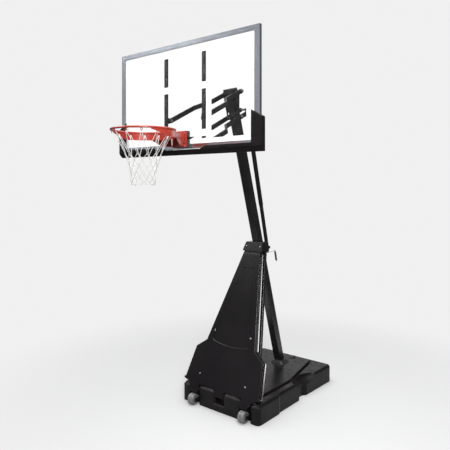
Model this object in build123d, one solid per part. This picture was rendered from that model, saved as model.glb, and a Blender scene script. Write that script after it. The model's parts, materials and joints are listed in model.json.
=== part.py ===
from build123d import *
import math
import os

# Portable basketball hoop: a filled tank on the floor, a leaning square pole, a four-bar lift with
# a screw jack, and a framed clear backboard with a sprung rim.
# Millimetres. X is the hoop's width, Y points from the board back to the stand's rear, Z is up.
# The origin is on the floor, at the centre of the tank's footprint.

# ---------------------------------------------------------------- driving dimensions
FIT = 0.05                      # radial clearance of every running pin
GAP = 0.4                       # clearance between bodies that pass close by

BASE_X = 870.0                  # tank width
BASE_Y = 1277.0                 # tank length
BASE_H = 165.0                  # height of the tank's shoulder
PLATEAU_H = 180.0               # height of the raised middle of the tank
TANK_WALL = 5.0
FRONT_Y = -BASE_Y / 2           # front of the tank's blocks
FRONT_WALL_Y = -598.0           # wall behind the wheels
FRONT_BLOCK_BACK_Y = -500.0
CORNER_BLOCK_X = 329.5
HUMP_X0 = 46.0                  # humps beside the middle notch
HUMP_X1 = 240.5
HUMP_H = 182.0
SILL_H = 62.0                   # front sill below the notch
FILL_X = 30.0
FILL_Y = 536.0
FILL_R = 24.0

POLE_SIDE = 76.0                # 3 in square tube
POLE_WALL = 2.5
POLE_LEAN = 16.85               # degrees forward
POLE_FOOT_Y = 386.5             # where the pole's axis meets the floor
POLE_TOP_Z = 2842.0             # top of the square tube on its axis

PIVOT_Y = -414.4                # lift pivots on the pole head
UPPER_PIVOT_Z = 2832.0
LOWER_PIVOT_Z = 2602.0
ARM_DROP = 26.3                 # degrees that the arms fall towards the board
ARM_LENGTH = 697.0              # pivot to pivot
ARM_HEIGHT = 38.0
ARM_THICK = 18.0
ARM_INNER_X = 80.0              # arm centres beside the pole
ARM_OUTER_X = 183.0             # arm centres beside the board tubes
ARM_TAIL = 217.0                # lower pivot to the jack's pin
ARM_TAIL_RISE = 26.3            # degrees
PIN_R = 7.0

JACK_LEAN = 13.88               # degrees forward
JACK_LENGTH = 1363.8            # jack's foot pivot to its top pin
JACK_FOOT_Z = 1374.0

BOARD_FRONT_Y = -1084.4         # front face of the board's frame
BOARD_W = 1524.0                # 60 in
BOARD_TOP_Z = 3142.0
BOARD_H = 864.0                 # 34 in
FRAME_DEPTH = 25.0
FRAME_SIDE_W = 48.0
FRAME_RAIL_W = 38.0
PANEL_T = 5.0
TUBE_X = 210.5
TUBE_SIDE = 25.0

RING_R = 236.6                  # to the middle of the rod: 18 in clear inside
RING_ROD = 8.0                  # rod radius
RING_Y = -1501.9
RING_Z = 2398.0
NET_LENGTH = 392.0

SHROUD_LEAN = 22.47             # degrees backward
SHROUD_FOOT_Y = -621.8          # front plane of the shroud at SHROUD_FOOT_Z
SHROUD_FOOT_Z = 200.0
SHROUD_T = 6.0
SHROUD_DEPTH = 38.0
STRUT_SIDE = 30.0
STRUT_SETBACK = 75.0            # strut axis behind the shroud's front plane

WHEEL_R = 47.0
WHEEL_W = 60.0
WHEEL_X = 285.0
WHEEL_Y = -655.0
WHEEL_Z = 48.5
AXLE_R = 6.0

# ---------------------------------------------------------------- derived places
BOARD_BOTTOM_Z = BOARD_TOP_Z - BOARD_H
FRAME_BACK_Y = BOARD_FRONT_Y + FRAME_DEPTH
PANEL_FRONT_Y = BOARD_FRONT_Y + 2.0
PANEL_BACK_Y = PANEL_FRONT_Y + PANEL_T
TUBE_FRONT_Y = PANEL_BACK_Y + 1.0
ARM_RUN_Y = ARM_LENGTH * math.cos(math.radians(ARM_DROP))
ARM_RUN_Z = ARM_LENGTH * math.sin(math.radians(ARM_DROP))
BOARD_PIVOT_Y = PIVOT_Y - ARM_RUN_Y
UPPER_BOARD_Z = UPPER_PIVOT_Z - ARM_RUN_Z
LOWER_BOARD_Z = LOWER_PIVOT_Z - ARM_RUN_Z
TAIL_Y = PIVOT_Y + ARM_TAIL * math.cos(math.radians(ARM_TAIL_RISE))
TAIL_Z = LOWER_PIVOT_Z + ARM_TAIL * math.sin(math.radians(ARM_TAIL_RISE))
JACK_FOOT_Y = TAIL_Y + JACK_LENGTH * math.sin(math.radians(JACK_LEAN))
RIM_PIVOT_Y = BOARD_FRONT_Y - 48.0
RIM_PIVOT_Z = 2298.0

# tank
BALLAST_FRONT_Y = -560.0

# pole and head
HEAD_PLATE_X = 62.0
HEAD_PLATE_T = 6.0

# front struts and shroud
CLAMP_Z = 1396.0
STRUT_TOP_Z = 1402.0
STRUT_BOTTOM_Z = BASE_H + 6.0
SHROUD_BOLTS = [(205.0, 637.0), (258.0, 269.0)]
SHROUD_TOP_Z = 1353.0
LIP_DEPTH = 4.5
SHROUD_EDGE_R = 4.0
STEP_W = 8.0                    # two steps along the shroud's edges
STEP_D = 11.0
STEP_FROM_Z = 215.0
RECESS_DEPTH = 4.0
RECESS_TAPER = 45.0
PANEL_TOP_Z = 1212.0
PANEL_BOTTOM_Z = 545.0

# lift arms
ARM_PATH = [(0, ARM_INNER_X), (243, ARM_INNER_X), (375, ARM_OUTER_X), (ARM_LENGTH, ARM_OUTER_X)]

# jack and crank
JACK_R = 21.0
JACK_INNER_R = 18.0
JACK_WALL = 2.0
JACK_TUBE = 1000.0              # length of the inner tube
SLEEVE_LOW = 430.0
CRANK_REACH = 72.0
GRIP_LENGTH = 90.0
CRANK_R = 5.5

# backboard
BAND_X = 639.0                  # inner edges of the printed border
BAND_TOP_Z = 3035.0
BAND_LOW_Z = 2354.0
PRINT_T = 0.4
SQUARE_W = 600.0                # shooter's square: 24 x 17 in inside a 2 in line
SQUARE_LOW_Z = 2372.0
SQUARE_HIGH_Z = 2797.0
SQUARE_LINE = 54.0
LUG_X = TUBE_X - TUBE_SIDE / 2 - 4.0

# pads
PAD_FRONT_Y = BOARD_FRONT_Y - 13.0
PAD_BACK_Y = FRAME_BACK_Y + 12.0
PAD_BOTTOM_Z = 2231.0
PAD_CREASE_Z = 2267.0
PAD_TOP_Z = 2298.0
PAD_SIDE_Z = 2480.0             # outer top of the upright part
PAD_OUT = 23.0
PAD_IN_X = 692.0

# rim
RIM_PLATE_X = 77.0
RIM_PLATE_LOW = 2287.0
RIM_PLATE_HIGH = 2420.0
SPACER_T = 30.0
BRACKET_BACK_Y = RIM_PIVOT_Y - 4.0
WING_ROOT_X = 56.0
WING_TIP_X = 148.0
WING_TIP_Y = RING_Y + 186.0
BRACE_T = 4.0
BRACE_H = 50.0
HOOKS = 12

LOW = (Align.CENTER, Align.CENTER, Align.MIN)


# ---------------------------------------------------------------- helpers
def save(name, *solids):
    """Write one node; several loose solids become one group."""
    shape = solids[0] if len(solids) == 1 else Compound(children=list(solids))
    shape.label = name
    export_step(shape, f"parts/{name}.step")


def block(x0, x1, y0, y1, z0, z1):
    """A box given by its two corners."""
    return Pos((x0 + x1) / 2, (y0 + y1) / 2, (z0 + z1) / 2) * Box(x1 - x0, y1 - y0, z1 - z0)


def rod_x(radius, x0, x1, y, z):
    """A round bar along X."""
    return Pos((x0 + x1) / 2, y, z) * Rot(0, 90, 0) * Cylinder(radius, x1 - x0)


def hex_x(across, x0, x1, y, z):
    """A hexagon head or nut whose axis is along X."""
    profile = Plane.YZ * RegularPolygon(across / 2, 6, major_radius=False)
    return Pos(x0, y, z) * extrude(profile, x1 - x0)


def polygon_yz(points, x0, x1):
    """A flat plate with its outline given in Y and Z, between two X planes."""
    outline = make_face(Polyline(*[(0, y, z) for y, z in points], close=True))
    return Pos(x0, 0, 0) * extrude(outline, x1 - x0, dir=(1, 0, 0))


def both_sides(solid):
    """A solid and its mirror image across the hoop's middle plane."""
    return [solid, mirror(solid, about=Plane.YZ)]


def pole_y(z):
    """Y of the pole's axis at a height."""
    return POLE_FOOT_Y - math.tan(math.radians(POLE_LEAN)) * z


def on_pole(z):
    """Frame on the pole's axis at a height, with its Z along the pole."""
    return Pos(0, pole_y(z), z) * Rot(POLE_LEAN, 0, 0)


def on_jack(along):
    """Frame on the jack's axis, a distance above its foot pivot."""
    return Pos(0, JACK_FOOT_Y, JACK_FOOT_Z) * Rot(JACK_LEAN, 0, 0) * Pos(0, 0, along)


def square_tube(side, wall, length, corner):
    """A hollow square tube standing on the XY plane."""
    outer = RectangleRounded(side, side, corner)
    inner = RectangleRounded(side - 2 * wall, side - 2 * wall, corner - wall * 0.8)
    return extrude(outer - inner, length)


def shroud_plane(depth=0.0):
    """Sketch plane of the shroud: X across, Y up the slope, depth measured into the stand."""
    lean = math.radians(SHROUD_LEAN)
    outward = (0, -math.cos(lean), math.sin(lean))
    origin = (0, SHROUD_FOOT_Y - outward[1] * depth, SHROUD_FOOT_Z - outward[2] * depth)
    return Plane(origin=origin, x_dir=(1, 0, 0), z_dir=outward)


def up_slope(z):
    """Distance up the shroud's front plane that reaches a height."""
    return (z - SHROUD_FOOT_Z) / math.cos(math.radians(SHROUD_LEAN))


def shroud_half_width(z):
    """Half width of the tapering upper part of the shroud."""
    return 290.0 - 0.2277 * (z - 550.0)


# ---------------------------------------------------------------- tank
def tank_outline():
    """Plan of the tank behind its front blocks, with a hand notch in each long side."""
    hx = BASE_X / 2
    hy = BASE_Y / 2
    right = [(hx, FRONT_WALL_Y), (hx, -330), (hx - 12, -315), (hx - 12, 15), (hx - 50, 70),
             (hx - 50, 125), (hx - 22, 165), (hx - 12, hy)]
    left = [(-x, y) for x, y in reversed(right)]
    face = make_face(Polyline(*right, *left, close=True))
    ranked = face.vertices().sort_by(Axis.Y)
    face = fillet(ranked[2:-2], 24)
    return fillet(face.vertices().sort_by(Axis.Y)[-2:], 44)


def front_block(x0, x1, height, corner, edge):
    """Rounded moulded block that stands out of the front of the tank."""
    middle = Pos((x0 + x1) / 2, (FRONT_Y + FRONT_BLOCK_BACK_Y) / 2, 0)
    body = middle * extrude(RectangleRounded(x1 - x0, FRONT_BLOCK_BACK_Y - FRONT_Y, corner), height)
    body = chamfer(body.faces().sort_by(Axis.Z)[-1].edges(), edge)
    body = fillet(body.faces().sort_by(Axis.Z)[-1].edges(), edge / 3)
    return fillet(body.faces().sort_by(Axis.Z)[0].edges(), 5)


def plateau_outline(grow=0.0):
    """Plan of the raised middle, which narrows towards the rear."""
    right = [(340 + grow, -596 - grow), (340 + grow, -14), (215 + grow, 586 + grow)]
    left = [(-x, y) for x, y in reversed(right)]
    face = make_face(Polyline(*right, *left, close=True))
    return fillet(face.vertices(), 50)


def hand_scoop():
    """Rounded hollow in the right shoulder of the tank, open to the side."""
    hollow = scale(Sphere(1), by=(118, 195, 74))
    return Pos(BASE_X / 2, 140, BASE_H + 12) * hollow


def pole_well():
    """Straight-sided well that takes the pole's foot."""
    return block(-52, 52, 268, 420, 60, PLATEAU_H + 5)


def base_tank():
    """Blow-moulded ballast tank: shoulder, raised middle, front blocks, scoops and wells."""
    body = extrude(tank_outline(), BASE_H)
    body = fillet(body.faces().sort_by(Axis.Z)[-1].edges(), 22)
    body = fillet(body.faces().sort_by(Axis.Z)[0].edges(), 6)
    corner = front_block(CORNER_BLOCK_X, BASE_X / 2, BASE_H, 38, 22)
    hump = front_block(HUMP_X0, HUMP_X1, HUMP_H, 30, 26)
    for half in (*both_sides(corner), *both_sides(hump)):
        body += half
    body += front_block(-HUMP_X0 - 30, HUMP_X0 + 30, SILL_H, 12, 8)
    groove = extrude(plateau_outline(14) - plateau_outline(0), 8)
    body -= Pos(0, 0, BASE_H - 7) * groove
    raised = extrude(plateau_outline(), PLATEAU_H - 20)
    raised = Pos(0, 0, 20) * fillet(raised.faces().sort_by(Axis.Z)[-1].edges(), 9)
    body += raised
    for half in both_sides(hand_scoop()):
        body -= half
    body -= block(-HUMP_X0, HUMP_X0, -BASE_Y, FRONT_WALL_Y + 12, SILL_H, BASE_H + 60)
    body -= pole_well()
    body -= Pos(FILL_X, FILL_Y, PLATEAU_H) * Cylinder(FILL_R + 0.5, 60)
    return body - ballast_space(0)


def ballast_space(inset):
    """Closed hollow inside the tank, clear of the wheel bays, the well and the scoops."""
    hollow = block(-330 + inset, 330 - inset, BALLAST_FRONT_Y + inset, 590 - inset, TANK_WALL + inset,
                   BASE_H - 45 - inset)
    hollow -= block(-60 - inset, 60 + inset, 260 - inset, 428 + inset, 50, PLATEAU_H)
    return hollow


def pole_boot():
    """Moulded collar around the pole where it enters the tank."""
    lower = Pos(0, pole_y(PLATEAU_H), PLATEAU_H) * RectangleRounded(150, 140, 20)
    upper = Pos(0, pole_y(PLATEAU_H + 30), PLATEAU_H + 30) * RectangleRounded(96, 100, 14)
    collar = loft([lower, upper])
    return collar - on_pole(0) * Box(POLE_SIDE + 0.4, POLE_SIDE + 0.4, 900)


def fill_cap():
    """Screw plug with a ribbed rim; its skirt hangs free in the tank's filler hole."""
    top = Cylinder(FILL_R + 7, 9, align=LOW)
    top = fillet(top.edges().group_by(Axis.Z)[-1], 2.5)
    plug = Pos(0, 0, -22) * Cylinder(FILL_R - 0.2, 22, align=LOW)
    grip = Pos(0, 0, 9) * Box(34, 8, 7, align=LOW)
    return Pos(FILL_X, FILL_Y, PLATEAU_H + 0.3) * (top + plug + grip)


# ---------------------------------------------------------------- wheels
def wheel(x):
    """Moulded roller with a stepped rim and a hub bore."""
    half = WHEEL_W / 2
    profile = Polyline((AXLE_R + FIT, -half + 4), (16, -half), (16, -half + 4), (WHEEL_R - 13, -half + 4),
                       (WHEEL_R - 13, -half), (WHEEL_R - 4, -half), (WHEEL_R, -half + 4),
                       (WHEEL_R, half - 4), (WHEEL_R - 4, half), (WHEEL_R - 13, half),
                       (WHEEL_R - 13, half - 4), (16, half - 4), (16, half), (AXLE_R + FIT, half - 4),
                       close=True)
    roller = revolve(Plane.XZ * make_face(profile), Axis.Z)
    return Pos(x, WHEEL_Y, WHEEL_Z) * Rot(0, 90, 0) * roller


def wheel_axle(x):
    """Pin through the wheel into both walls of its bay, held by two forked tabs."""
    reach = WHEEL_W / 2 + 13.5
    pin = rod_x(AXLE_R, x - reach, x + reach, WHEEL_Y, WHEEL_Z)
    for side in (-1, 1):
        inner = x + side * (WHEEL_W / 2 + 3)
        outer = x + side * reach
        tab = block(min(inner, outer), max(inner, outer), WHEEL_Y - 14, FRONT_WALL_Y, WHEEL_Z - 14,
                    WHEEL_Z + 14)
        pin += tab
    return pin


# ---------------------------------------------------------------- pole and head
def pole_section(z0, z1, spigot):
    """One length of square pole; its lower end may be swaged to enter the length below."""
    length = (z1 - z0) / math.cos(math.radians(POLE_LEAN))
    tube = square_tube(POLE_SIDE, POLE_WALL, length, 9)
    if spigot:
        side = POLE_SIDE - 2 * POLE_WALL - 0.4
        tube += Pos(0, 0, -90) * square_tube(side, POLE_WALL, 92, 7.6)
    section = on_pole(z0) * tube
    return section - rod_x(PIN_R + FIT, -50, 50, PIVOT_Y, LOWER_PIVOT_Z)


def pole_cap():
    """Square moulded cap over the top of the pole."""
    skirt = extrude(RectangleRounded(98, 98, 12), 46)
    skirt = fillet(skirt.faces().sort_by(Axis.Z)[-1].edges(), 4)
    skirt -= Pos(0, 0, -1) * Box(POLE_SIDE + 0.4, POLE_SIDE + 0.4, 35, align=LOW)
    cap = on_pole(POLE_TOP_Z) * Pos(0, 0, -34) * skirt
    return cap - rod_x(PIN_R + 1.5, -60, 60, PIVOT_Y, UPPER_PIVOT_Z)


def head_plate():
    """Right-hand side plate that carries both lift pivots, with an ear around each."""
    rear = -425.0
    outline = [(rear, UPPER_PIVOT_Z + 8), (rear, LOWER_PIVOT_Z - 55), (rear - 18, LOWER_PIVOT_Z - 70),
               (pole_y(LOWER_PIVOT_Z - 70) - 30, LOWER_PIVOT_Z - 70),
               (pole_y(UPPER_PIVOT_Z - 10) - 30, UPPER_PIVOT_Z - 10), (rear - 30, UPPER_PIVOT_Z + 8)]
    x0 = HEAD_PLATE_X
    x1 = HEAD_PLATE_X + HEAD_PLATE_T
    plate = polygon_yz(outline, x0, x1)
    for z in (UPPER_PIVOT_Z, LOWER_PIVOT_Z):
        plate += rod_x(21, x0, x1, PIVOT_Y, z)
    for z in (UPPER_PIVOT_Z, LOWER_PIVOT_Z):
        plate -= rod_x(PIN_R + FIT, x0 - 1, x1 + 1, PIVOT_Y, z)
    return plate


def head_spacers():
    """Box spacers welded between the pole and the head's side plates."""
    inner = POLE_SIDE / 2
    spacers = []
    for z in (LOWER_PIVOT_Z - 40, LOWER_PIVOT_Z + 70, LOWER_PIVOT_Z + 165):
        pad = on_pole(z) * Pos((inner + HEAD_PLATE_X) / 2, 0, 0) * Box(HEAD_PLATE_X - inner, 44, 40)
        pad -= block(0, 100, PIVOT_Y - 22, 0, 0, 4000)
        spacers += both_sides(pad)
    return spacers


# ---------------------------------------------------------------- front struts and shroud
def strut_point(z, setback=STRUT_SETBACK):
    """Middle of the right-hand strut at a height."""
    lean = math.radians(SHROUD_LEAN)
    front = SHROUD_FOOT_Y + math.tan(lean) * (z - SHROUD_FOOT_Z)
    return Vector(shroud_half_width(z) - STRUT_SIDE / 2, front + setback / math.cos(lean), z)


def front_strut():
    """Right-hand square strut from the pole's clamp down to the front of the tank."""
    foot = strut_point(STRUT_BOTTOM_Z)
    top = strut_point(STRUT_TOP_Z)
    frame = Plane(origin=foot, x_dir=(1, 0, 0), z_dir=(top - foot).normalized())
    tube = frame * square_tube(STRUT_SIDE, 2.0, (top - foot).length, 4)
    return tube - block(200, 500, -700, -400, 0, BASE_H + 4)


def strut_foot():
    """Pressed foot that bolts the right-hand strut to the tank's shoulder."""
    foot = strut_point(STRUT_BOTTOM_Z)
    plate = Pos(foot.X, foot.Y + 4, BASE_H) * extrude(RectangleRounded(64, 78, 10), 4)
    upright = Pos(foot.X + STRUT_SIDE / 2 + 2.2, foot.Y + 8, BASE_H) * Box(4, 44, 50, align=LOW)
    return plate + upright - extrude(plateau_outline(0.5), PLATEAU_H)


def strut_clamp():
    """Steel band around the pole that holds both struts."""
    z = CLAMP_Z
    band = Box(POLE_SIDE + 8, POLE_SIDE + 8, 36) - Box(POLE_SIDE + 0.2, POLE_SIDE + 0.2, 60)
    clamp = on_pole(z) * band
    y = strut_point(z).Y
    ear = block(POLE_SIDE / 2 + 3.5, strut_point(z).X - STRUT_SIDE / 2 - 6, y - 16, y + 16, z - 15, z + 15)
    for half in both_sides(ear):
        clamp += half
    return clamp


def cross_brace(z):
    """Square tube across the front of both struts, which the shroud bolts to."""
    half = shroud_half_width(z) - 12
    if z < 500:
        half = strut_point(z).X + STRUT_SIDE / 2
    near = STRUT_SETBACK - STRUT_SIDE / 2 - 25
    bar = shroud_plane(near + 12.5) * Pos(0, up_slope(z), 0) * Box(2 * half, 25, 25)
    hollow = shroud_plane(near + 12.5) * Pos(0, up_slope(z), 0) * Box(2 * half + 2, 21, 21)
    return bar - hollow


def shroud_outline(inset=0.0):
    """Front outline of the shroud, drawn on its own sloping plane."""
    right = [(50, up_slope(132)), (50, up_slope(176)), (72, up_slope(186)), (176, up_slope(186)),
             (228, up_slope(160)), (246, up_slope(112)), (312, up_slope(112)), (371, up_slope(187)),
             (434, up_slope(200)), (393, up_slope(478)), (290, up_slope(550)),
             (shroud_half_width(SHROUD_TOP_Z), up_slope(SHROUD_TOP_Z))]
    left = [(-x, y) for x, y in reversed(right)]
    face = make_face(Polyline(*right, *left, close=True))
    face = fillet(face.vertices(), 12)
    return offset(face, -inset) if inset else face


def shroud_border(width):
    """Edge strip of the shroud's face above its lower corners."""
    strip = shroud_outline() - shroud_outline(width)
    return strip - Pos(0, up_slope(STEP_FROM_Z) - 500, 0) * Rectangle(BASE_X + 50, 1000)


def recess_outline():
    """Shallow recessed panel in the shroud's face, with a sagging lower edge."""
    top = up_slope(PANEL_TOP_Z)
    bottom = up_slope(PANEL_BOTTOM_Z)
    edge = Polyline((-216, bottom + 18), (-56, top), (56, top), (216, bottom + 18))
    edge += ThreePointArc((216, bottom + 18), (0, bottom - 14), (-216, bottom + 18))
    return fillet(make_face(edge).vertices(), 18)


def shroud_lip():
    """Strip on top of the shroud that tucks behind the collar and closes the groove."""
    low = SHROUD_TOP_Z - 32
    high = SHROUD_TOP_Z + 26
    right = [(shroud_half_width(low) - 14, up_slope(low)), (shroud_half_width(high) - 14, up_slope(high))]
    left = [(-x, y) for x, y in reversed(right)]
    return make_face(Polyline(*right, *left, close=True))


def front_shroud():
    """Moulded shroud: a face plate with a turned-back edge and four screw bosses."""
    plane = shroud_plane()
    tray = extrude(plane * shroud_outline(), -SHROUD_DEPTH)
    tray -= extrude(plane * shroud_border(2 * STEP_W), -STEP_D)
    tray -= extrude(plane * shroud_border(STEP_W), -2 * STEP_D)
    outward = Axis(plane.origin, plane.z_dir)
    tray = fillet(tray.faces().sort_by(outward)[-1].edges(), SHROUD_EDGE_R)
    for i, inset in enumerate((2 * STEP_W, STEP_W, 0)):
        hollow = shroud_outline(inset + SHROUD_T)
        tray -= extrude(shroud_plane(SHROUD_T + i * STEP_D) * hollow, -SHROUD_DEPTH)
    low = shroud_plane(SHROUD_T) * Pos(0, up_slope(205) - 200, -50) * Box(1000, 400, 100)
    tray -= low
    tray -= block(-BASE_X, BASE_X, FRONT_WALL_Y - 1, 0, 0, BASE_H + 1)
    tray -= extrude(plateau_outline(2), PLATEAU_H + 1)
    hump = block(HUMP_X0 - 1, HUMP_X1 + 1, FRONT_Y - 1, FRONT_WALL_Y, 0, HUMP_H + 1)
    corner = block(CORNER_BLOCK_X - 1, BASE_X, FRONT_Y - 1, FRONT_WALL_Y, 0, BASE_H + 1)
    for half in (*both_sides(hump), *both_sides(corner)):
        tray -= half
    tray -= extrude(shroud_plane() * recess_outline(), -RECESS_DEPTH, taper=RECESS_TAPER)
    lip = extrude(shroud_plane(LIP_DEPTH) * shroud_lip(), -3.5)
    tray += lip
    for x, z in SHROUD_BOLTS:
        for side in (-1, 1):
            seat = shroud_plane(SHROUD_T) * Pos(side * x, up_slope(z), 0)
            tray += seat * Pos(0, 0, -14.5) * Cylinder(11, 29)
            tray -= shroud_plane() * Pos(side * x, up_slope(z), 0) * Cylinder(9, 5)
    return tray


def shroud_bolts():
    """Domed bolt heads that hold the shroud and its collar."""
    heads = []
    for x, z in SHROUD_BOLTS:
        for side in (-1, 1):
            head = shroud_plane() * Pos(side * x, up_slope(z), -2.5) * Cylinder(7.5, 5.5, align=LOW)
            heads.append(fillet(head.edges().sort_by(Axis.Y)[0], 2))
    for side in (-1, 1):
        head = shroud_plane() * Pos(side * 78, up_slope(1404), 0) * Cylinder(4.5, 3, align=LOW)
        heads.append(head)
    return heads


def collar_face(low_z, inset):
    """Front outline of the collar on the shroud's plane."""
    right = [(shroud_half_width(low_z) + 8 - inset, up_slope(low_z)),
             (shroud_half_width(1443.0) + 8 - inset, up_slope(1443.0) - inset)]
    left = [(-x, y) for x, y in reversed(right)]
    face = make_face(Polyline(*right, *left, close=True))
    return fillet(face.vertices().sort_by(Axis.Y)[-2:], 18 - inset)


def shroud_collar():
    """Cap moulding above the shroud that wraps the strut heads and the front of the pole."""
    wall = 4.0
    shell = extrude(shroud_plane() * collar_face(1358.0, 0), 100, dir=(0, 1, 0))
    shell -= extrude(shroud_plane(wall) * collar_face(1340.0, wall), 120, dir=(0, 1, 0))
    return shell - on_pole(1400) * Box(POLE_SIDE + 2, POLE_SIDE + 2, 400)


# ---------------------------------------------------------------- lift arms
def arm_strip(points, width):
    """Flat strip of even width along a path of (distance, X) points, with mitred turns."""
    sides = ([], [])
    for i, (u, x) in enumerate(points):
        back = points[i - 1] if i else points[0]
        ahead = points[i + 1] if i + 1 < len(points) else points[-1]
        before = Vector(u - back[0], x - back[1]).normalized() if i else None
        after = Vector(ahead[0] - u, ahead[1] - x).normalized() if i + 1 < len(points) else None
        first = before or after
        second = after or before
        mean = (first + second).normalized()
        reach = width / 2 / (mean.X * first.X + mean.Y * first.Y)
        sides[0].append((u - mean.Y * reach, x + mean.X * reach))
        sides[1].append((u + mean.Y * reach, x - mean.X * reach))
    return make_face(Polyline(*sides[0], *reversed(sides[1]), close=True))


def lift_arm(tail):
    """Right-hand arm in its own frame: U runs to the board, V up, X outwards."""
    path = [(-tail, ARM_INNER_X)] + ARM_PATH[1:] if tail else ARM_PATH
    strip = arm_strip(path, ARM_THICK)
    bar = Pos(0, 0, -ARM_HEIGHT / 2) * extrude(strip, ARM_HEIGHT)
    ends = [(path[0][0], ARM_INNER_X), (ARM_LENGTH, ARM_OUTER_X)]
    for u, x in ends:
        bar += Pos(u, x, 0) * Rot(90, 0, 0) * Cylinder(ARM_HEIGHT / 2, ARM_THICK)
    return bar


def place_arm(arm, pivot_z):
    """Turn an arm from its own frame to its place on the pole head."""
    drop = math.radians(ARM_DROP)
    frame = Plane(origin=(0, PIVOT_Y, pivot_z), x_dir=(0, -math.cos(drop), -math.sin(drop)),
                  z_dir=(0, -math.sin(drop), math.cos(drop)))
    return frame * arm


def upper_arm():
    """Right-hand upper arm with its two bores."""
    arm = place_arm(lift_arm(0), UPPER_PIVOT_Z)
    arm -= rod_x(PIN_R, 0, 150, PIVOT_Y, UPPER_PIVOT_Z)
    return arm - rod_x(PIN_R + FIT, 150, 260, BOARD_PIVOT_Y, UPPER_BOARD_Z)


def lower_arm():
    """Right-hand lower arm, which carries on behind the pole to the jack's pin."""
    arm = place_arm(lift_arm(ARM_TAIL), LOWER_PIVOT_Z)
    arm -= rod_x(PIN_R, 0, 150, PIVOT_Y, LOWER_PIVOT_Z)
    return arm - rod_x(PIN_R + 0.4, 150, 260, BOARD_PIVOT_Y, LOWER_BOARD_Z)


def pivot_pin(z):
    """Through pin fixed in both arms, with a nut at each end; it turns in the head plates."""
    end = ARM_INNER_X + ARM_THICK / 2
    pin = rod_x(PIN_R, -end, end, PIVOT_Y, z)
    for side in (-1, 1):
        near = side * end
        far = side * (end + 9)
        pin += hex_x(22, min(near, far), max(near, far), PIVOT_Y, z)
        washer_in = side * (HEAD_PLATE_X + HEAD_PLATE_T + GAP)
        washer_out = side * (ARM_INNER_X - ARM_THICK / 2)
        pin += rod_x(12, min(washer_in, washer_out), max(washer_in, washer_out), PIVOT_Y, z)
    return pin


def tail_bolts():
    """Bolt heads on the outside of the lower arms' tails."""
    x = ARM_INNER_X + ARM_THICK / 2
    return both_sides(hex_x(19, x, x + 8, TAIL_Y, TAIL_Z))


# ---------------------------------------------------------------- jack and crank


def jack_lower_tube():
    """Lower tube of the jack, hung on the pole's bracket by a cross pin."""
    tube = Cylinder(JACK_INNER_R, JACK_TUBE, align=LOW)
    tube -= Pos(0, 0, 4) * Cylinder(JACK_INNER_R - JACK_WALL, JACK_TUBE, align=LOW)
    jack = on_jack(0) * (Pos(0, 0, -14) * tube)
    jack += rod_x(PIN_R, -34, 34, JACK_FOOT_Y, JACK_FOOT_Z)
    return jack


def jack_ferrule():
    """Bearing housing at the foot of the jack."""
    body = Pos(0, 0, -40) * Cylinder(16, 26, align=LOW)
    return on_jack(0) * fillet(body.edges().group_by(Axis.Z)[0], 3)


def jack_sleeve():
    """Outer tube of the jack, which rides up and down over the lower tube."""
    length = JACK_LENGTH - SLEEVE_LOW - 8
    tube = Cylinder(JACK_R, length, align=LOW) - Cylinder(JACK_INNER_R + 0.4, length - 30, align=LOW)
    return on_jack(SLEEVE_LOW) * tube


def jack_tee():
    """Cross bar on top of the jack; its ends stop just inside the arms' tails."""
    end = ARM_INNER_X - ARM_THICK / 2 - 1.0
    bar = rod_x(11, -end, end, TAIL_Y, TAIL_Z)
    return bar - on_jack(JACK_LENGTH - 8 - 100) * Cylinder(JACK_R + 0.01, 100, align=LOW)


def in_crank(along, out=0.0):
    """Frame on the crank: along the jack's axis and outwards at 45 degrees to the right rear."""
    return on_jack(along) * Rot(0, 0, 45) * Pos(out, 0, 0)


def crank():
    """Bent steel crank below the jack's housing, with a shoulder above its grip."""
    hub = in_crank(-58) * Cylinder(9, 17.6, align=LOW)
    arm = in_crank(-50) * Rot(0, 90, 0) * Cylinder(CRANK_R, CRANK_REACH, align=LOW)
    bend = in_crank(-50, CRANK_REACH) * Sphere(CRANK_R)
    spindle = Pos(0, 0, -GRIP_LENGTH - 12) * Cylinder(CRANK_R, GRIP_LENGTH + 12, align=LOW)
    spindle = in_crank(-50, CRANK_REACH) * spindle
    stop = in_crank(-50, CRANK_REACH) * Pos(0, 0, -GRIP_LENGTH - 16) * Cylinder(8, 4, align=LOW)
    return hub + arm + bend + spindle + stop


def crank_grip():
    """Free-turning grip on the crank's spindle."""
    grip = Cylinder(9.5, GRIP_LENGTH, align=LOW)
    grip = fillet(grip.edges(), 2.5)
    grip -= Cylinder(CRANK_R + FIT, 400)
    return in_crank(-50, CRANK_REACH) * Pos(0, 0, -GRIP_LENGTH - 11.5) * grip


def jack_bracket():
    """Pair of cheeks on the pole's rear face that hold the jack's foot pin."""
    z = JACK_FOOT_Z
    pole_back = pole_y(z) + POLE_SIDE / 2 / math.cos(math.radians(POLE_LEAN))
    outline = [(pole_back + 14, z - 46), (JACK_FOOT_Y - 4, z - 17), (JACK_FOOT_Y + 13, z - 10),
               (JACK_FOOT_Y + 13, z + 12), (JACK_FOOT_Y - 4, z + 14), (pole_back + 4, z + 4)]
    cheek = polygon_yz(outline, 24, 28)
    cheek -= rod_x(PIN_R + FIT, 20, 40, JACK_FOOT_Y, z)
    bracket = cheek + mirror(cheek, about=Plane.YZ)
    plate = Pos(0, POLE_SIDE / 2 + 2.5, 0) * Box(64, 5, 56)
    plate = on_pole(z - 24) * plate
    return bracket + plate


# ---------------------------------------------------------------- backboard
def backboard_panel():
    """Clear acrylic sheet, seated in the frame's grooves."""
    half = BOARD_W / 2 - 8
    return block(-half, half, PANEL_FRONT_Y, PANEL_BACK_Y, BOARD_BOTTOM_Z + 8, BOARD_TOP_Z - 8)


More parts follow.
